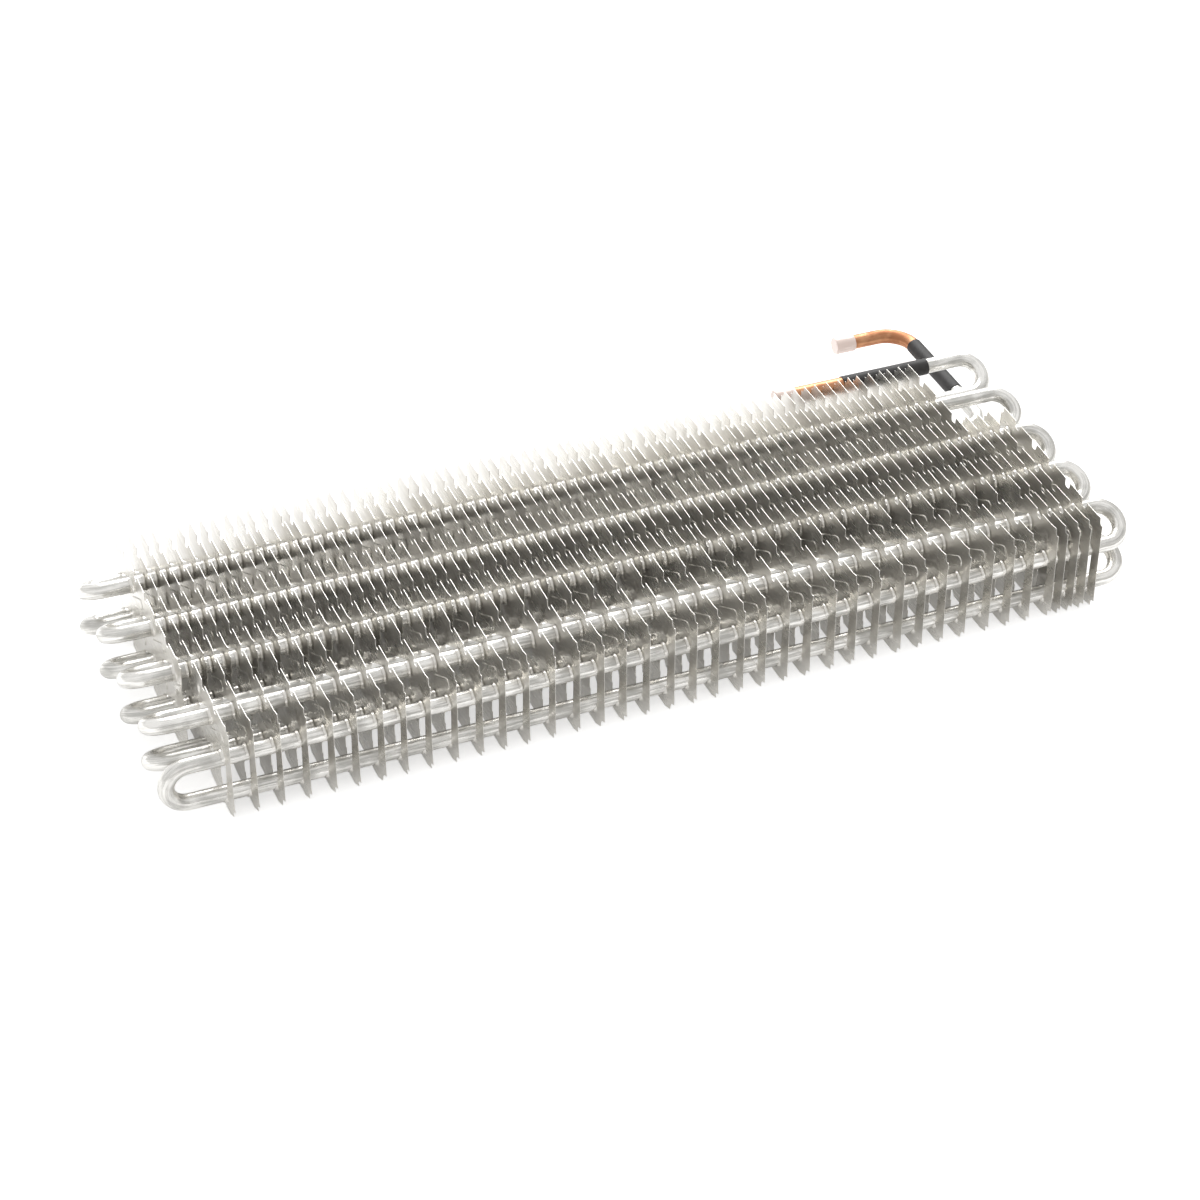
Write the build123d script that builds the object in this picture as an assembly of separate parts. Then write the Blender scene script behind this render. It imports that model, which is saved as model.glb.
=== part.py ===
from build123d import *
import math
import os

# A finned evaporator coil of a household freezer. One long aluminium tube is bent to and
# fro into eighteen straight passes, in nine columns of two. Thin aluminium fins were pushed
# on over its left bends, through one slot for each of them. The two ends of the tube leave
# at the right, where copper ends are joined on under black sleeves, and capped.
# X runs along the passes, Y from the front column of passes to the back, and Z is up.
# The origin is under the middle of the whole coil, on the surface that the fins stand on.

# Aluminium tube. Flat sides, and bends of straight steps, keep its faces few.
tube_diameter = 9.53
bend_spacing = 25.4
column_count = 9
pass_length = 573.0
tube_sides = 8
steps_in_quarter_turn = 3

# Fins. The insets are from the starts of the bends to the first fin and the last, and the
# margins are below the lowest passes and above the highest. A nick takes the front corners.
fin_thickness = 0.3
wide_fin_count = 36
end_fin_count = 4
first_fin_inset = 12.5
last_fin_inset = 13.9
bottom_margin = 12.2
top_margin = 14.7
slot_clearance = 0.05
nick_height = 5.0
nick_run = 3.0

# The rear fins hold this many columns, counted from the back, and the fins at the right end
# this many from the front. Each file of rear fins holds a group of them.
rear_fin_column_count = 6
end_fin_column_count = 6
rear_group_size = 4

# Copper ends
copper_wall = 0.8
joint_depth = 26.0
upper_stub = 22.0
upper_copper_length = 80.0
lower_stub = 27.0
lower_copper_radius = 19.0
lower_copper_run = 30.0

# Sleeves over the joints, and caps on the copper, both with flat sides for few faces
cover_sides = 12
cover_fit = 0.02
sleeve_length = 60.0
sleeve_wall = 0.5
cap_length = 14.0
cap_wall = 1.0
cap_end = 1.5

tube_radius = tube_diameter / 2
bend_radius = bend_spacing / 2
column_spacing = bend_spacing * math.sqrt(3) / 2
last_column = column_count - 1
right = pass_length / 2
fin_count = 2 * wide_fin_count + end_fin_count
fin_pitch = (pass_length - first_fin_inset - last_fin_inset) / (fin_count - 1)
along = Vector(1, 0, 0)
backward = Vector(0, 1, 0)

# The passes as column and tier, in the order in which the tube runs through them. It comes
# in at the upper right end, so every second bend between two of them is at the left.
upper_passes = [(column, 1) for column in range(column_count, -1, -1)]
passes = upper_passes + [(column, 0) for column in range(column_count)]
bends = list(zip(passes, passes[1:]))
left_bends = bends[1::2]


def centre(column, tier):
    """Y and Z of a pass. Odd columns sit half a bend higher than even ones."""
    height = (tier + column % 2 / 2) * bend_spacing
    return column * column_spacing, height


def at(x, spot):
    return Vector(x, spot[0], spot[1])


def turn_corners(middle, arm, ahead, quarters):
    """Corners of a turn about its middle, from the tip of the arm towards ahead."""
    half_step = math.pi / 4 / steps_in_quarter_turn
    reach = 1 / math.cos(half_step)
    corners = []
    for step in range(quarters * steps_in_quarter_turn):
        angle = half_step * (2 * step + 1)
        corners.append(middle + (arm * math.cos(angle) + ahead * math.sin(angle)) * reach)
    return corners


def half_turn(x, start, end):
    """Corners of the bend that joins two passes beyond the fins at x."""
    middle = (at(x, start) + at(x, end)) * 0.5
    return turn_corners(middle, at(x, start) - middle, along * math.copysign(bend_radius, x), 2)


# Where the copper joins the aluminium at each end, and where the sleeves over it begin
upper_sleeve_start = at(right - upper_stub, centre(*passes[0]))
upper_joint = upper_sleeve_start - along * joint_depth
quarter_middle = at(right, centre(*passes[-1])) + backward * bend_radius
lower_sleeve_start = quarter_middle + along * bend_radius + backward * lower_stub
lower_joint = lower_sleeve_start + backward * joint_depth


def tube_circuit():
    """The one tube, from its upper joint through every pass to its lower joint."""
    corners = [upper_joint]
    for index, (start, end) in enumerate(bends):
        x = right if index % 2 == 0 else -right
        corners += half_turn(x, centre(*start), centre(*end))
    corners += turn_corners(quarter_middle, backward * -bend_radius, along * bend_radius, 1)
    corners.append(lower_joint)
    section = Plane(upper_joint, z_dir=along) * RegularPolygon(tube_radius, tube_sides)
    return sweep(section, path=Polyline(*corners), transition=Transition.RIGHT)


def copper_end(corners):
    plane = Plane(corners[0], z_dir=corners[1] - corners[0])
    section = plane * (Circle(tube_radius) - Circle(tube_radius - copper_wall))
    return sweep(section, path=Polyline(*corners), transition=Transition.RIGHT)


def cover(start, direction, length, wall):
    """A close-fitting length of soft tube round the aluminium or the copper."""
    inside = RegularPolygon(tube_radius + cover_fit, cover_sides, major_radius=False)
    outside = RegularPolygon(tube_radius + cover_fit + wall, cover_sides, major_radius=False)
    return extrude(Plane(start, z_dir=direction) * (outside - inside), length)


def cap(tip, direction):
    """A cup pushed over the end of a copper tube, closed beyond its tip."""
    wall = cover(tip, direction * -1, cap_length - cap_end, cap_wall)
    disc = RegularPolygon(tube_radius + cover_fit + cap_wall, cover_sides, major_radius=False)
    return wall + extrude(Plane(tip, z_dir=direction) * disc, cap_end)


def slot(start, end):
    """The opening that a left bend goes through, round both of its passes."""
    width = tube_diameter + 2 * slot_clearance
    rise = end[1] - start[1]
    run = end[0] - start[0]
    middle = Pos((start[0] + end[0]) / 2, (start[1] + end[1]) / 2)
    turn = Rot(Z=math.degrees(math.atan2(rise, run)))
    return middle * turn * Rectangle(math.hypot(run, rise) + width, width)


def fin_outline(front, back):
    """A flat sheet, with a nick off its front corners."""
    bottom = centre(0, 0)[1] - bottom_margin
    top = centre(1, 1)[1] + top_margin
    corners = [(back, bottom), (front + nick_run, bottom), (front, bottom + nick_height)]
    corners += [(front, top - nick_height), (front + nick_run, top), (back, top)]
    return make_face(Polyline(*corners, close=True))


def fin(first, last):
    """A fin from the first column to the last, with an opening for each of its left bends.

    It is cut from the sheet halfway between two columns, so it cuts a bend's opening in two
    where the bend's other pass lies beyond that edge.
    """
    front = centre(first, 0)[0] - column_spacing / 2
    back = centre(last, 0)[0] + column_spacing / 2
    face = fin_outline(front, back)
    columns = range(first, last + 1)
    for start, end in left_bends:
        if start[0] in columns or end[0] in columns:
            face -= slot(centre(*start), centre(*end))
    upright = Plane((0, 0, 0), x_dir=backward, z_dir=along)
    return extrude(upright * face, fin_thickness / 2, both=True)


# The tube, its copper ends, and what covers their joints and tips
parts = {"tube_circuit": tube_circuit()}
upper_tip = upper_joint - along * upper_copper_length
lower_turn_start = lower_sleeve_start + backward * sleeve_length
lower_turn_middle = lower_turn_start - along * lower_copper_radius
lower_turn_end = lower_turn_middle + backward * lower_copper_radius
lower_tip = lower_turn_end - along * lower_copper_run
lower_turn = turn_corners(
    lower_turn_middle, along * lower_copper_radius, backward * lower_copper_radius, 1
)
parts["upper_copper_end"] = copper_end([upper_joint, upper_tip])
parts["lower_copper_end"] = copper_end([lower_joint] + lower_turn + [lower_tip])
parts["upper_sleeve"] = cover(upper_sleeve_start, along * -1, sleeve_length, sleeve_wall)
parts["lower_sleeve"] = cover(lower_sleeve_start, backward, sleeve_length, sleeve_wall)
parts["upper_cap"] = cap(upper_tip, along * -1)
parts["lower_cap"] = cap(lower_tip, along * -1)

# Fins: rear ones and wide ones take turns from the left, and end fins follow at the right
wide_fin = fin(0, last_column)
rear_fin = fin(column_count - rear_fin_column_count, last_column)
end_fin = fin(0, end_fin_column_count - 1)
places = [Pos(fin_pitch * index - right + first_fin_inset, 0, 0) for index in range(fin_count)]
end_places = places[2 * wide_fin_count:]
wide_places = places[1:2 * wide_fin_count:2]
rear_places = places[0:2 * wide_fin_count:2]
for number, place in enumerate(wide_places, 1):
    parts[f"wide_fin_{number:02d}"] = place * wide_fin
for number, place in enumerate(end_places, 1):
    parts[f"end_fin_{number}"] = place * end_fin
for first in range(0, wide_fin_count, rear_group_size):
    group = [place * rear_fin for place in rear_places[first:first + rear_group_size]]
    parts[f"rear_fins_{first // rear_group_size + 1}"] = Compound(group)

# Move the origin from the middle of the front lower pass to under the middle of the coil
box = Compound(list(parts.values())).bounding_box()
shift = Vector(-(box.min.X + box.max.X) / 2, -(box.min.Y + box.max.Y) / 2, -box.min.Z)
os.makedirs("parts", exist_ok=True)
for name, solid in parts.items():
    export_step(Pos(shift) * solid, f"parts/{name}.step")

print("overall size", box.size)
print("front lower pass at", at(0, centre(0, 0)) + shift)
print("upper copper tip at", upper_tip + shift, "lower one at", lower_tip + shift)
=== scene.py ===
import bpy
import math
import random
import numpy as np
from mathutils import Matrix, Vector
from mathutils.geometry import delaunay_2d_cdt


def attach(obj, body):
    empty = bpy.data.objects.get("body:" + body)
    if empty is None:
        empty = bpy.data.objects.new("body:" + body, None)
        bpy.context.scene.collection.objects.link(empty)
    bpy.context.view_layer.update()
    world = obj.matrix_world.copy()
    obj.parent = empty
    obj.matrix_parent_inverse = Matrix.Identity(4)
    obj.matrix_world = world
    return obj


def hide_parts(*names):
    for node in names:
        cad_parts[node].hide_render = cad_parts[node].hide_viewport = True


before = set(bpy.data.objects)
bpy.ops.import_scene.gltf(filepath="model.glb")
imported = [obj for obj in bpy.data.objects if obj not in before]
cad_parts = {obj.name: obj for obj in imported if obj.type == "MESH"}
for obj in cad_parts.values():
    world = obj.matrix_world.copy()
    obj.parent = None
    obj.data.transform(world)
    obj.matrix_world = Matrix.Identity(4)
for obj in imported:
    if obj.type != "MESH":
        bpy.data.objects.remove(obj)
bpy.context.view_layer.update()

# The aluminium tube: one length of 3/8 inch soft tube, bent to and fro into eighteen straight
# passes. It is drawn, so its skin is bright with faint lines along it. Every second bend lies at
# the left, where the fins were pushed on, and both of its ends leave at the right.
MM = 0.001

# The steps from tier to tier and from column to column are in millimetres, the rest in metres
tier_step = 25.4
column_step = 21.997
column_count = 9
tube_radius = 4.765 * MM
tube_sides = 32
bend_spacing = tier_step * MM
bend_radius = bend_spacing / 2
column_spacing = column_step * MM
pass_right = 286.147 * MM
pass_left = -286.853 * MM
front_pass = Vector((0, -144.833 * MM, 12.2 * MM))
upper_joint_x = 238.147 * MM
lower_joint_run = 53.0 * MM
straight_steps = 24
half_turn_steps = 20
quarter_turn_steps = 10
pipe_crease = math.radians(50)


def pass_centre(column, tier):
    """Y and Z of a pass, counted from the front lower one. Odd columns sit half a bend higher."""
    height = (tier + column % 2 / 2) * bend_spacing
    return front_pass.y + column * column_spacing, front_pass.z + height


def arc_points(middle, arm, ahead, angle, steps):
    """Points round a bend about its middle, from the tip of the arm towards ahead."""
    points = []
    for step in range(steps + 1):
        turned = angle * step / steps
        points.append(middle + arm * math.cos(turned) + ahead * math.sin(turned))
    return points


def straight_points(start, end, steps):
    """The points that divide a straight run, without its two ends."""
    return [start.lerp(end, step / steps) for step in range(1, steps)]


# The tube's middle line. The passes are named by column and tier, in the order in which the
# tube runs through them from its upper joint to its lower one.
upper_passes = [(column, 1) for column in range(column_count, -1, -1)]
tube_passes = upper_passes + [(column, 0) for column in range(column_count)]
upper_joint = Vector((upper_joint_x, *pass_centre(*tube_passes[0])))
tube_line = [upper_joint]
for index in range(len(tube_passes) - 1):
    side = 1 if index % 2 == 0 else -1
    bend_x = pass_right if side == 1 else pass_left
    start = Vector((bend_x, *pass_centre(*tube_passes[index])))
    end = Vector((bend_x, *pass_centre(*tube_passes[index + 1])))
    middle = (start + end) / 2
    outward = Vector((side * bend_radius, 0, 0))
    tube_line += straight_points(tube_line[-1], start, straight_steps)
    tube_line += arc_points(middle, start - middle, outward, math.pi, half_turn_steps)
quarter_start = Vector((pass_right, *pass_centre(*tube_passes[-1])))
quarter_arm = Vector((0, -bend_radius, 0))
outward = Vector((bend_radius, 0, 0))
tube_line += straight_points(tube_line[-1], quarter_start, straight_steps)
tube_line += arc_points(
    quarter_start - quarter_arm, quarter_arm, outward, math.pi / 2, quarter_turn_steps)
lower_joint = tube_line[-1] + Vector((0, lower_joint_run, 0))
tube_line.append(lower_joint)


def swept_pipe(name, line, outer, inner=None, sides=28):
    """A pipe along a line of points, hollow where it has an inner radius.

    Its drawn attribute says how far along the pipe a point of its skin is and where round it,
    so that drawn lines can run along it without a seam.
    """
    directions = []
    for place in range(len(line)):
        before = (line[place] - line[place - 1]).normalized() if place else Vector()
        after = (line[place + 1] - line[place]).normalized() if place + 1 < len(line) else Vector()
        directions.append((before + after).normalized())
    radii = [outer] if inner is None else [outer, inner]
    arm = directions[0].orthogonal().normalized()
    travelled = 0
    verts = []
    drawn = []
    for place, point in enumerate(line):
        if place:
            travelled += (point - line[place - 1]).length
            arm = (arm - directions[place] * arm.dot(directions[place])).normalized()
        across = directions[place].cross(arm)
        for radius in radii:
            for corner in range(sides):
                angle = 2 * math.pi * corner / sides
                turned = arm * math.cos(angle) + across * math.sin(angle)
                verts.append(point + turned * radius)
                drawn.append((travelled, radius * math.cos(angle), radius * math.sin(angle)))
    ring = sides * len(radii)
    faces = []
    for place in range(len(line) - 1):
        for corner in range(sides):
            a = place * ring + corner
            b = place * ring + (corner + 1) % sides
            faces.append((a, b, b + ring, a + ring))
            if inner is not None:
                a += sides
                b += sides
                faces.append((b, a, a + ring, b + ring))
    for place in (0, len(line) - 1):
        rim = [place * ring + corner for corner in range(sides)]
        closing = [rim]
        if inner is not None:
            closing = [(a, b, b + sides, a + sides) for a, b in zip(rim, rim[1:] + rim[:1])]
        faces += [face[::-1] if place == 0 else face for face in closing]
    mesh = bpy.data.meshes.new(name)
    mesh.from_pydata(verts, [], faces)
    mesh.attributes.new("drawn", "FLOAT_VECTOR", "POINT").data.foreach_set(
        "vector", np.array(drawn, np.float32).ravel())
    mesh.shade_smooth()
    mesh.set_sharp_from_angle(angle=pipe_crease)
    piece = bpy.data.objects.new(name, mesh)
    bpy.context.scene.collection.objects.link(piece)
    return piece


def shader_group(name, inputs, outputs):
    """An empty shader node group with named inputs and outputs."""
    group = bpy.data.node_groups.new(name, "ShaderNodeTree")
    for label, kind, value in inputs:
        socket = group.interface.new_socket(label, in_out="INPUT", socket_type=kind)
        if value is not None:
            socket.default_value = value
    for label, kind in outputs:
        group.interface.new_socket(label, in_out="OUTPUT", socket_type=kind)
    return group, group.nodes.new("NodeGroupInput"), group.nodes.new("NodeGroupOutput")


def add_node(tree, kind, links=(), **values):
    """A node with its settings, and a link or a value for its inputs by name or number."""
    node = tree.nodes.new(kind)
    for key, value in values.items():
        setattr(node, key, value)
    for socket, source in links:
        if isinstance(source, bpy.types.NodeSocket):
            tree.links.new(source, node.inputs[socket])
        else:
            node.inputs[socket].default_value = source
    return node


def mixed_colour(tree, share, first, second):
    """A blend of two colours. The Mix node's colours are its inputs 6 and 7 and its output 2."""
    links = [(0, share), (6, first), (7, second)]
    return add_node(tree, "ShaderNodeMix", links, data_type="RGBA").outputs[2]


# The skin of worked metal, for the tube and later for the fins and the copper: colour and gloss
# that vary in soft patches, and in fine lines along the way the metal was drawn or rolled.
worked_metal, metal_in, metal_out = shader_group(
    "worked_metal",
    inputs=[
        ("Grain Coordinates", "NodeSocketVector", None),
        ("Patch Coordinates", "NodeSocketVector", None),
        ("Colour", "NodeSocketColor", (0.8, 0.8, 0.8, 1)),
        ("Dull Colour", "NodeSocketColor", (0.6, 0.6, 0.6, 1)),
        ("Roughness", "NodeSocketFloat", 0.2),
        ("Roughness Spread", "NodeSocketFloat", 0.1),
        ("Grain Scale", "NodeSocketFloat", 800.0),
        ("Patch Scale", "NodeSocketFloat", 60.0),
    ],
    outputs=[
        ("Colour", "NodeSocketColor"),
        ("Roughness", "NodeSocketFloat"),
        ("Height", "NodeSocketFloat"),
        ("Waviness", "NodeSocketFloat"),
    ])
grain = add_node(worked_metal, "ShaderNodeTexNoise", [
    ("Vector", metal_in.outputs["Grain Coordinates"]),
    ("Scale", metal_in.outputs["Grain Scale"]),
    ("Detail", 3.0),
    ("Roughness", 0.6),
]).outputs["Fac"]
patch = add_node(worked_metal, "ShaderNodeTexNoise", [
    ("Vector", metal_in.outputs["Patch Coordinates"]),
    ("Scale", metal_in.outputs["Patch Scale"]),
    ("Detail", 2.0),
]).outputs["Fac"]
both = add_node(worked_metal, "ShaderNodeMath", [(0, grain), (1, patch)], operation="ADD")
dullness = add_node(worked_metal, "ShaderNodeMapRange", [
    ("Value", both.outputs[0]),
    ("From Min", 0.86),
    ("From Max", 1.16),
]).outputs[0]
shade = mixed_colour(
    worked_metal, dullness, metal_in.outputs["Colour"], metal_in.outputs["Dull Colour"])
gloss = add_node(worked_metal, "ShaderNodeMath", [
    (0, dullness),
    (1, metal_in.outputs["Roughness Spread"]),
    (2, metal_in.outputs["Roughness"]),
], operation="MULTIPLY_ADD").outputs[0]
worked_metal.links.new(shade, metal_out.inputs["Colour"])
worked_metal.links.new(gloss, metal_out.inputs["Roughness"])
worked_metal.links.new(grain, metal_out.inputs["Height"])
worked_metal.links.new(patch, metal_out.inputs["Waviness"])


def metal_material(name, colour, dull, metallic, roughness, spread, grain_scale, patch_scale,
                   bump, wave, coordinates):
    """A worked metal. Its lines follow the drawn attribute of a pipe, or a sheet's own plane."""
    material = bpy.data.materials.new(name)
    material.use_nodes = True
    tree = material.node_tree
    shader = tree.nodes["Principled BSDF"]
    shader.inputs["Metallic"].default_value = metallic
    if coordinates == "drawn":
        source = add_node(tree, "ShaderNodeAttribute", attribute_name="drawn").outputs["Vector"]
        stretch = (0.04, 1.0, 1.0)
    else:
        source = add_node(tree, "ShaderNodeTexCoord").outputs["Object"]
        stretch = (1.0, 0.06, 1.0)
    lines = add_node(tree, "ShaderNodeMapping", [("Vector", source), ("Scale", stretch)])
    metal = add_node(tree, "ShaderNodeGroup", [
        ("Grain Coordinates", lines.outputs[0]),
        ("Patch Coordinates", source),
        ("Colour", (*colour, 1)),
        ("Dull Colour", (*dull, 1)),
        ("Roughness", roughness),
        ("Roughness Spread", spread),
        ("Grain Scale", grain_scale),
        ("Patch Scale", patch_scale),
    ], node_tree=worked_metal)
    waves = add_node(tree, "ShaderNodeBump", [
        ("Height", metal.outputs["Waviness"]),
        ("Strength", 1.0),
        ("Distance", wave),
    ])
    relief = add_node(tree, "ShaderNodeBump", [
        ("Height", metal.outputs["Height"]),
        ("Strength", 1.0),
        ("Distance", bump),
        ("Normal", waves.outputs[0]),
    ])
    tree.links.new(metal.outputs["Colour"], shader.inputs["Base Color"])
    tree.links.new(metal.outputs["Roughness"], shader.inputs["Roughness"])
    tree.links.new(relief.outputs[0], shader.inputs["Normal"])
    return material


tube_metal = metal_material(
    "drawn_aluminium", colour=(0.95, 0.935, 0.90), dull=(0.56, 0.55, 0.52), metallic=0.85,
    roughness=0.16, spread=0.2, grain_scale=1000.0, patch_scale=70.0, bump=0.00018,
    wave=0.00003, coordinates="drawn")
tube = swept_pipe("aluminium_tube", tube_line, tube_radius, sides=tube_sides)
tube.data.materials.append(tube_metal)
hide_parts("tube_circuit")
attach(tube, "root")

# The fins: thin bright aluminium sheet, stamped out of a long strip with a notch halfway between
# every two passes along both edges, a slot for each left bend with a low collar round each end,
# and a flat bead between the slots. They were pushed on one by one, so each is a little bent.
fin_metal = metal_material(
    "rolled_aluminium_sheet", colour=(0.85, 0.83, 0.785), dull=(0.76, 0.74, 0.70), metallic=0.92,
    roughness=0.27, spread=0.06, grain_scale=700.0, patch_scale=42.0, bump=0.0000005,
    wave=0.00003, coordinates="sheet")
fin_thickness = 0.23 * MM
fin_crease = math.radians(38)

# The fins' other sizes and points are in millimetres: X as in the frame, Y and Z from the front
# lower pass. A collar rises towards -X, and its profile gives its radius at each height. It has
# its least share of that height where its rim begins and ends, and grows from there.
wide_fin_count = 36
end_fin_count = 4
rear_group_size = 4
pass_length = 573.0
first_fin_inset = 12.5
last_fin_inset = 13.9
first_fin_x = pass_left / MM + first_fin_inset
fin_gaps = 2 * wide_fin_count + end_fin_count - 1
fin_pitch = (pass_length - first_fin_inset - last_fin_inset) / fin_gaps
sheet_bottom = -12.15
sheet_top = 52.75
edge_inset = 0.15
notch_depth = 4.6
half_notch = [(1.7, notch_depth), (2.4, 4.1), (2.7, 3.0), (3.1, 0.0)]
slot_half_width = 4.75
collar_profile = [(6.1, 0.0), (5.7, 0.15), (5.4, 0.5), (5.2, 1.0), (5.12, 1.5), (5.12, 2.0)]
collar_least = 0.15
collar_growth = 3.0
bead_first_height = 13.6
bead_run = Vector((19.0, -11.0))
bead_half_width = 3.4
bead_flank = 0.5
bead_height = 0.55

# Every second bend of the tube lies at the left, and goes through a slot of each fin it meets
left_bends = list(zip(tube_passes, tube_passes[1:]))[1::2]

# The flat mesh of a fin has points about one step apart along its outlines. Between them lies a
# grid with the same step, which begins behind the front edge and keeps clear of the outlines.
mesh_step = 4
grid_front = 2.2
grid_bottom = -10
grid_rows = 17
grid_clearance = 1.6
weld_distance = 1e-5


def in_sheet(column, tier):
    """Y and Z of a pass in the fin's own plane."""
    return Vector((column * column_step, (tier + column % 2 / 2) * tier_step))


def obround(start, end, radius, end_radius=None, steps=12):
    """Points round a slot with straight sides and round ends, which may be a little wider."""
    end_radius = end_radius or radius
    along = (end - start).normalized()
    points = []
    for middle, ahead in ((start, -along), (end, along)):
        across = Vector((-ahead.y, ahead.x))
        for step in range(steps + 1):
            angle = math.pi * step / steps
            share = min(1.0, collar_growth * math.sin(angle))
            wide = radius + (end_radius - radius) * share
            out = ahead * math.sin(angle) - across * math.cos(angle)
            points.append(middle + out * wide)
    return points


def notched_edge(front, back, edge, inward):
    """The upper or lower edge of a fin from the front to the back, with its notches."""
    points = [(front, edge + inward * notch_depth)]
    points += [(front + y, edge + inward * z) for y, z in half_notch]
    for number in range(1, round((back - front) / column_step)):
        middle = front + number * column_step
        points += [(middle - y, edge + inward * z) for y, z in reversed(half_notch)]
        points += [(middle + y, edge + inward * z) for y, z in half_notch]
    points += [(back - y, edge + inward * z) for y, z in reversed(half_notch)]
    points.append((back, edge + inward * notch_depth))
    return points


def is_inside(points, loop):
    """For each point, whether it lies inside the loop."""
    y = points[:, 0:1]
    z = points[:, 1:2]
    starts = np.array(loop)
    ends = np.roll(starts, -1, axis=0)
    spans = (starts[:, 1] > z) != (ends[:, 1] > z)
    rise = np.where(ends[:, 1] == starts[:, 1], 1.0, ends[:, 1] - starts[:, 1])
    crossings = starts[:, 0] + (z - starts[:, 1]) * (ends[:, 0] - starts[:, 0]) / rise
    return (spans & (y < crossings)).sum(axis=1) % 2 == 1


def add_loop(points, links, loop):
    """Add a closed loop to the points of a flat mesh, and to the links between them."""
    base = len(points)
    for start, end in zip(loop, loop[1:] + loop[:1]):
        parts = max(1, round(math.dist(start, end) / mesh_step))
        points.extend(Vector(start).lerp(Vector(end), part / parts) for part in range(parts))
    links.extend((number, number + 1) for number in range(base, len(points) - 1))
    links.append((len(points) - 1, base))


def add_grid(points, front, back):
    """Add the grid of points between the outlines of a flat mesh."""
    outlines = np.array(points)
    for place in range(int((back - front) / mesh_step) + 1):
        for row in range(grid_rows):
            y = front + grid_front + mesh_step * place
            point = np.array((y, grid_bottom + mesh_step * row))
            if np.min(np.hypot(*(outlines - point).T)) > grid_clearance:
                points.append(Vector(point))


def bead_rise(beads, y, z):
    """How far each point of the sheet stands out towards -X on a bead."""
    rise = np.zeros_like(y)
    for start, end in beads:
        along = end - start
        run = (y - start.x) * along.x + (z - start.y) * along.y
        share = np.clip(run / along.length_squared, 0, 1)
        gap = np.hypot(y - start.x - share * along.x, z - start.y - share * along.y)
        flank = np.clip((bead_half_width - gap) / bead_flank, 0, 1)
        rise = np.maximum(rise, bead_height * flank)
    return rise


def collar(rim):
    """The levels of the collar round one end of a slot, lower where the rim begins and ends."""
    middle = (rim[0] + rim[-1]) / 2
    levels = []
    for radius, height in collar_profile:
        level = []
        for step, point in enumerate(rim):
            round_end = math.sin(math.pi * step / (len(rim) - 1))
            full = min(1.0, collar_least + collar_growth * round_end)
            reach = (point - middle).length + (radius - collar_profile[0][0]) * full
            level.append((*(middle + (point - middle).normalized() * reach), height * full))
        levels.append(level)
    return np.array(levels)


def flat_fin(first, last):
    """A fin before it is bent, from its first column to its last.

    It comes as the sheet's points, each with its rise on a bead, their triangles, the collars,
    and the fin's front edge.
    """
    front = (first - 0.5) * column_step
    back = (last + 0.5) * column_step
    edge = notched_edge(front, back, sheet_top, -1)
    edge += notched_edge(front, back, sheet_bottom, 1)[::-1]
    edge = [(min(max(y, front + edge_inset), back - edge_inset), z) for y, z in edge]
    points = []
    links = []
    add_loop(points, links, edge)
    slots = []
    for start, end in left_bends:
        if first <= start[0] <= last or first <= end[0] <= last:
            slots.append(obround(
                in_sheet(*start), in_sheet(*end), slot_half_width, collar_profile[0][0]))
            add_loop(points, links, slots[-1])
    beads = []
    for column in range(first - first % 2, last, 2):
        for tier in (0, 1):
            start = Vector((column * column_step, bead_first_height + tier_step * tier))
            beads.append((start, start + bead_run))
            for radius in (bead_half_width, bead_half_width - bead_flank):
                add_loop(points, links, obround(*beads[-1], radius, steps=8))
    add_grid(points, front, back)
    flat, _, triangles, _, _, _ = delaunay_2d_cdt(points, links, [], 0, weld_distance)
    flat = np.array(flat)
    triangles = np.array(triangles)
    middles = flat[triangles].mean(axis=1)
    keep = is_inside(middles, edge)
    for loop in slots:
        keep &= ~is_inside(middles, loop)
    used, triangles = np.unique(triangles[keep], return_inverse=True)
    flat = flat[used]
    raised = np.column_stack([flat, bead_rise(beads, *flat.T)])
    rims = [rim for loop in slots for rim in (loop[:len(loop) // 2], loop[len(loop) // 2:])]
    collars = [collar(rim) for rim in rims if front < (rim[0] + rim[-1]).x / 2 < back]
    return raised, triangles.reshape(-1, 3), collars, front


# How a fin is bent: its front strip leans, more so near its foot. Its top and its foot lean
# from a fold on. A slow wave runs from its front to its back, and most of it is in its top.
front_strip = 6.3
front_slope = 0.35
front_slope_loss = 0.0033
top_fold = 43
foot_fold = -5
foot_curve = 1.4
wave_stretch = 17
wave_share = 0.3


def own_bends(chance):
    """How one fin is bent and stamped, and how far from its place it was pushed."""
    return {
        "front": chance.uniform(0.8, 1.15),
        "top": chance.uniform(0.0, 0.7),
        "foot": chance.uniform(-0.3, 1.4),
        "wave": chance.uniform(0.05, 0.3),
        "phase": chance.uniform(0, 6.28),
        "stamped": chance.uniform(0.55, 1.0),
        "pushed": chance.uniform(-0.9, 0.9),
    }


def bent(points, bends, place, front, yaw):
    """X, Y and Z of points of a flat fin, given as Y, Z and rise, once it is bent and in place."""
    y, z, rise = points.T
    ahead = np.maximum(0, front + front_strip - y)
    above = np.maximum(0, z - top_fold) / (sheet_top - top_fold)
    below = np.maximum(0, foot_fold - z) / (foot_fold - sheet_bottom)
    shift = bends["front"] * ahead * (front_slope - front_slope_loss * z)
    shift += bends["top"] * above
    shift += bends["foot"] * below ** foot_curve
    wave = bends["wave"] * np.sin(y / wave_stretch + bends["phase"]) * (wave_share + above)
    shift += wave + yaw * y
    return np.stack([place + bends["pushed"] + shift - rise, y, z], axis=-1)


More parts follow.
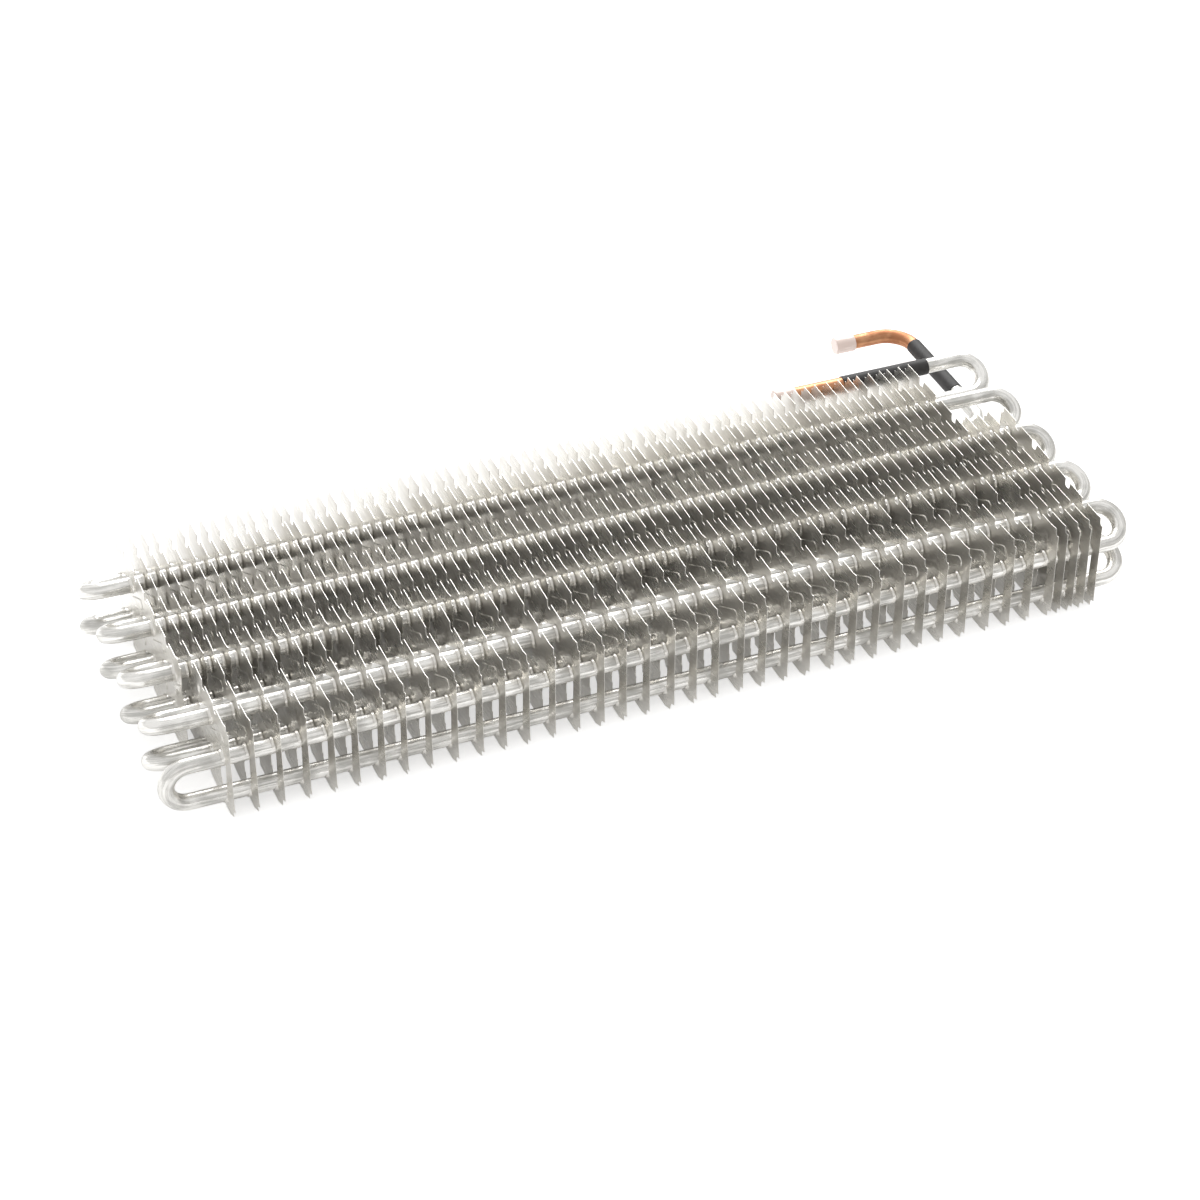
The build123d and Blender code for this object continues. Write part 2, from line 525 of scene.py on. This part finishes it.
def build_fins(name, sheet, indexes, seed, yaw=0.0):
    """Fins of one kind as one piece: each is a copy of the flat sheet, bent and in its place."""
    raised, triangles, collars, front = sheet
    chance = random.Random(seed)
    verts = []
    faces = []
    for index in indexes:
        place = first_fin_x + fin_pitch * index
        bends = own_bends(chance)
        faces += (triangles + len(verts)).tolist()
        stamped = raised * (1, 1, bends["stamped"])
        verts += bent(stamped, bends, place, front, yaw).tolist()
        for levels in collars:
            base = len(verts)
            count = levels.shape[1]
            verts += bent(levels.reshape(-1, 3), bends, place, front, yaw).tolist()
            for level in range(len(levels) - 1):
                for step in range(count - 1):
                    a = base + level * count + step
                    faces.append((a, a + 1, a + count + 1, a + count))
    mesh = bpy.data.meshes.new(name)
    mesh.from_pydata(np.array(verts) * MM + (0, front_pass.y, front_pass.z), [], faces)
    mesh.materials.append(fin_metal)
    piece = bpy.data.objects.new(name, mesh)
    bpy.context.scene.collection.objects.link(piece)
    thick = piece.modifiers.new("sheet_thickness", "SOLIDIFY")
    thick.thickness = fin_thickness
    thick.offset = 0
    made = piece.evaluated_get(bpy.context.evaluated_depsgraph_get())
    solid = bpy.data.meshes.new_from_object(made)
    piece.modifiers.clear()
    piece.data = solid
    solid.name = name
    solid.shade_smooth()
    solid.set_sharp_from_angle(angle=fin_crease)
    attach(piece, "root")
    return piece


# Wide fins: thirty-six sheets over the whole depth of the coil, twice as far apart as the rear
# ones. Each was pushed on over all nine left bends.
wide_sheet = flat_fin(first=0, last=8)
for number in range(wide_fin_count):
    piece = build_fins(
        f"wide_fin_sheet_{number + 1:02d}", wide_sheet, [2 * number + 1], seed=100 + number)
    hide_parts(f"wide_fin_{number + 1:02d}")

# End fins: four of the same sheet close together at the right, cut off short of the back. The
# last one stands a little askew.
end_sheet = flat_fin(first=0, last=5)
last_fin_yaw = 0.03
for number in range(end_fin_count):
    yaw = last_fin_yaw if number == end_fin_count - 1 else 0.0
    index = 2 * wide_fin_count + number
    piece = build_fins(
        f"end_fin_sheet_{number + 1}", end_sheet, [index], seed=200 + number, yaw=yaw)
    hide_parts(f"end_fin_{number + 1}")

# Rear fins: shorter sheets, one between every two wide ones, behind the front passes, so that
# frost doesn't close the front of the coil. Each piece is a file of four.
rear_sheet = flat_fin(first=3, last=8)
for number in range(wide_fin_count // rear_group_size):
    first = rear_group_size * number
    indexes = [2 * (first + member) for member in range(rear_group_size)]
    piece = build_fins(f"rear_fin_sheets_{number + 1}", rear_sheet, indexes, seed=300 + number)
    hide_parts(f"rear_fins_{number + 1}")

# The copper ends: short pipes of drawn copper, joined on inside black sleeves to the ends of the
# aluminium tube. The upper one runs back to the left behind the fins, and the lower one bends
# round to the left behind the coil.
copper_metal = metal_material(
    "drawn_copper", colour=(0.64, 0.33, 0.18), dull=(0.45, 0.20, 0.10), metallic=0.9,
    roughness=0.34, spread=0.16, grain_scale=500.0, patch_scale=120.0, bump=0.00002,
    wave=0.00002, coordinates="drawn")
copper_bore = tube_radius - 0.8 * MM
upper_length = 80 * MM
lower_turn_radius = 19 * MM
lower_turn_steps = 20
lower_tip_run = 30 * MM
joint_depth = 26 * MM
sleeve_length = 60 * MM
upper_tip = upper_joint - Vector((upper_length, 0, 0))
upper_copper = swept_pipe("upper_copper_pipe", [upper_joint, upper_tip], tube_radius, copper_bore)
lower_sleeve_start = lower_joint - Vector((0, joint_depth, 0))
lower_turn_start = lower_sleeve_start + Vector((0, sleeve_length, 0))
lower_turn_arm = Vector((lower_turn_radius, 0, 0))
lower_turn_ahead = Vector((0, lower_turn_radius, 0))
lower_turn_middle = lower_turn_start - lower_turn_arm
lower_line = [lower_joint] + arc_points(
    lower_turn_middle, lower_turn_arm, lower_turn_ahead, math.pi / 2, lower_turn_steps)
lower_tip = lower_line[-1] - Vector((lower_tip_run, 0, 0))
lower_line.append(lower_tip)
lower_copper = swept_pipe("lower_copper_pipe", lower_line, tube_radius, copper_bore)
for piece, node in ((upper_copper, "upper_copper_end"), (lower_copper, "lower_copper_end")):
    piece.data.materials.append(copper_metal)
    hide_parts(node)
    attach(piece, "root")

# The sleeves: black shrink tube over each joint of copper and aluminium, warmed until it sits
# close. It has a soft satin skin, a little mottled.
sleeve_skin = bpy.data.materials.new("black_shrink_tube")
sleeve_skin.use_nodes = True
tree = sleeve_skin.node_tree
shader = tree.nodes["Principled BSDF"]
shader.inputs["Specular IOR Level"].default_value = 0.4
mottle = add_node(tree, "ShaderNodeTexNoise", [
    ("Vector", add_node(tree, "ShaderNodeTexCoord").outputs["Object"]),
    ("Scale", 240.0),
    ("Detail", 4.0),
]).outputs["Fac"]
tone = mixed_colour(tree, mottle, (0.018, 0.017, 0.017, 1), (0.05, 0.048, 0.047, 1))
satin = add_node(tree, "ShaderNodeMapRange", [
    ("Value", mottle),
    ("To Min", 0.42),
    ("To Max", 0.62),
])
relief = add_node(tree, "ShaderNodeBump", [
    ("Height", mottle),
    ("Strength", 1.0),
    ("Distance", 0.00008),
])
tree.links.new(tone, shader.inputs["Base Color"])
tree.links.new(satin.outputs[0], shader.inputs["Roughness"])
tree.links.new(relief.outputs[0], shader.inputs["Normal"])
cover_fit = 0.02 * MM
sleeve_outside = tube_radius + 0.5 * MM
sleeve_steps = 60
upper_sleeve_start = upper_joint + Vector((joint_depth, 0, 0))
for name, start, direction, node in (
    ("upper_shrink_sleeve", upper_sleeve_start, Vector((-1, 0, 0)), "upper_sleeve"),
    ("lower_shrink_sleeve", lower_sleeve_start, Vector((0, 1, 0)), "lower_sleeve"),
):
    line = [start + direction * (sleeve_length * step / sleeve_steps)
            for step in range(sleeve_steps + 1)]
    piece = swept_pipe(name, line, sleeve_outside, tube_radius + cover_fit)
    piece.data.materials.append(sleeve_skin)
    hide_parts(node)
    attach(piece, "root")

# The caps: cloudy cups of soft plastic, moulded and pushed over the ends of the copper to keep
# dirt out until the coil is fitted.
cap_plastic = bpy.data.materials.new("cloudy_cap_plastic")
cap_plastic.use_nodes = True
shader = cap_plastic.node_tree.nodes["Principled BSDF"]
shader.inputs["Base Color"].default_value = (0.94, 0.78, 0.71, 1)
shader.inputs["Roughness"].default_value = 0.35
shader.inputs["Transmission Weight"].default_value = 0.15
shader.inputs["IOR"].default_value = 1.45
cap_bore = tube_radius + cover_fit
cap_skin = tube_radius + 1.0 * MM
cap_sides = 40
cap_crease = math.radians(40)

# Distance beyond the pipe's tip in millimetres, and radius: the closed end with its rounded
# edge, the outside back to the mouth, and the inside up to the tip
cap_profile = [
    (1.5, 0),
    (1.5, cap_skin - 0.5 * MM),
    (1.2, cap_skin - 0.15 * MM),
    (0.7, cap_skin),
    (-12.0, cap_skin + 0.02 * MM),
    (-12.3, cap_skin - 0.1 * MM),
    (-12.5, cap_skin - 0.35 * MM),
    (-12.5, cap_bore),
    (0, cap_bore),
    (0, 0),
]
for name, tip, node in (
    ("upper_pipe_cap", upper_tip, "upper_cap"),
    ("lower_pipe_cap", lower_tip, "lower_cap"),
):
    verts = []
    for beyond, radius in cap_profile:
        for corner in range(cap_sides):
            angle = 2 * math.pi * corner / cap_sides
            ring_point = (-beyond * MM, radius * math.cos(angle), radius * math.sin(angle))
            verts.append(tip + Vector(ring_point))
    faces = []
    for level in range(len(cap_profile) - 1):
        for corner in range(cap_sides):
            a = level * cap_sides + corner
            b = level * cap_sides + (corner + 1) % cap_sides
            faces.append((a, a + cap_sides, b + cap_sides, b))
    mesh = bpy.data.meshes.new(name)
    mesh.from_pydata(verts, [], faces)
    mesh.validate()
    mesh.shade_smooth()
    mesh.set_sharp_from_angle(angle=cap_crease)
    mesh.materials.append(cap_plastic)
    piece = bpy.data.objects.new(name, mesh)
    bpy.context.scene.collection.objects.link(piece)
    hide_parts(node)
    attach(piece, "root")

# The table: a white top without an edge in view. It lies a hair below the coil's feet, shows
# white to the camera, and is a little bright in the metal that mirrors it.
table_reach = 30
table_drop = 0.0002
shown_white = 0.55
mirrored_white = 0.2
table_mesh = bpy.data.meshes.new("white_table")
corners = [(-table_reach, -table_reach, 0), (table_reach, -table_reach, 0),
           (table_reach, table_reach, 0), (-table_reach, table_reach, 0)]
table_mesh.from_pydata(corners, [], [(0, 1, 2, 3)])
table = bpy.data.objects.new("white_table", table_mesh)
table.location = (0, 0, -table_drop)
bpy.context.scene.collection.objects.link(table)
white_table = bpy.data.materials.new("white_table_top")
white_table.use_nodes = True
tree = white_table.node_tree
shader = tree.nodes["Principled BSDF"]
shader.inputs["Base Color"].default_value = (0.9, 0.9, 0.9, 1)
shader.inputs["Roughness"].default_value = 0.8
shader.inputs["Specular IOR Level"].default_value = 0.1
shader.inputs["Emission Color"].default_value = (1, 1, 1, 1)
rays = add_node(tree, "ShaderNodeLightPath")
mirrored = add_node(tree, "ShaderNodeMath", [
    (0, rays.outputs["Is Glossy Ray"]),
    (1, mirrored_white),
], operation="MULTIPLY")
lift = add_node(tree, "ShaderNodeMath", [
    (0, rays.outputs["Is Camera Ray"]),
    (1, shown_white),
    (2, mirrored.outputs[0]),
], operation="MULTIPLY_ADD")
tree.links.new(lift.outputs[0], shader.inputs["Emission Strength"])
table_mesh.materials.append(white_table)

# The room: plain white to the camera, and soft light on the coil, a little darker low down and
# to one side, which gives the sheets and the tube their greys.
room_up = (-0.2, 0.12, 1.0)
room_strength = 0.85
room_white_from = 0.42
world = bpy.data.worlds.new("white_studio")
bpy.context.scene.world = world
world.use_nodes = True
tree = world.node_tree
tree.nodes.clear()
height = add_node(tree, "ShaderNodeVectorMath", [
    (0, add_node(tree, "ShaderNodeTexCoord").outputs["Generated"]),
    (1, room_up),
], operation="DOT_PRODUCT")
room = add_node(tree, "ShaderNodeValToRGB", [(0, height.outputs["Value"])])
room.color_ramp.elements[0].position = 0.0
room.color_ramp.elements[0].color = (0.56, 0.55, 0.53, 1)
room.color_ramp.elements[1].position = room_white_from
room.color_ramp.elements[1].color = (1, 1, 1, 1)
plain = add_node(tree, "ShaderNodeBackground", [("Color", (1, 1, 1, 1)), ("Strength", 1.0)])
studio = add_node(tree, "ShaderNodeBackground", [
    ("Color", room.outputs[0]),
    ("Strength", room_strength),
])
seen = add_node(tree, "ShaderNodeMixShader", [
    (0, add_node(tree, "ShaderNodeLightPath").outputs["Is Camera Ray"]),
    (1, studio.outputs[0]),
    (2, plain.outputs[0]),
])
add_node(tree, "ShaderNodeOutputWorld", [("Surface", seen.outputs[0])])

# The lamp: one broad soft panel above and behind the coil, aimed at its middle. It draws the
# bright lines along the top edges, the collars and the tube.
lamp = bpy.data.lights.new("overhead_lamp", "AREA")
lamp.shape = "RECTANGLE"
lamp.size = 2.6
lamp.size_y = 1.8
lamp.energy = 60
lamp_place = Vector((0.7, 1.9, 1.8))
lamp_holder = bpy.data.objects.new("overhead_lamp", lamp)
lamp_holder.location = lamp_place
lamp_holder.rotation_mode = "QUATERNION"
lamp_holder.rotation_quaternion = (-lamp_place).to_track_quat("-Z", "Y")
bpy.context.scene.collection.objects.link(lamp_holder)

# The camera: placed and turned as it was fitted to points measured on the photograph's tubes
# and fins. Its focal length is in pixels of a picture 1200 pixels wide.
camera_place = (-0.5871, -1.4159, 1.1228)
turn = math.radians(23.104)
tilt = math.radians(36.914)
roll = math.radians(1.167)
focal_pixels = 3093.27
picture_width = 1200
sensor_width = 36
camera_data = bpy.data.cameras.new("camera")
camera = bpy.data.objects.new("camera", camera_data)
bpy.context.scene.collection.objects.link(camera)
bpy.context.scene.camera = camera
ahead = Vector((math.sin(turn) * math.cos(tilt), math.cos(turn) * math.cos(tilt), -math.sin(tilt)))
level = ahead.cross(Vector((0, 0, 1))).normalized()
upright = level.cross(ahead)
right_way = level * math.cos(roll) + upright * math.sin(roll)
up_way = upright * math.cos(roll) - level * math.sin(roll)
facing = Matrix((right_way, up_way, -ahead)).transposed().to_4x4()
camera.matrix_world = Matrix.Translation(camera_place) @ facing
camera_data.sensor_width = sensor_width
camera_data.lens = sensor_width * focal_pixels / picture_width
camera_data.clip_start = 0.05
camera_data.clip_end = 100

bpy.context.scene.view_settings.view_transform = "Standard"
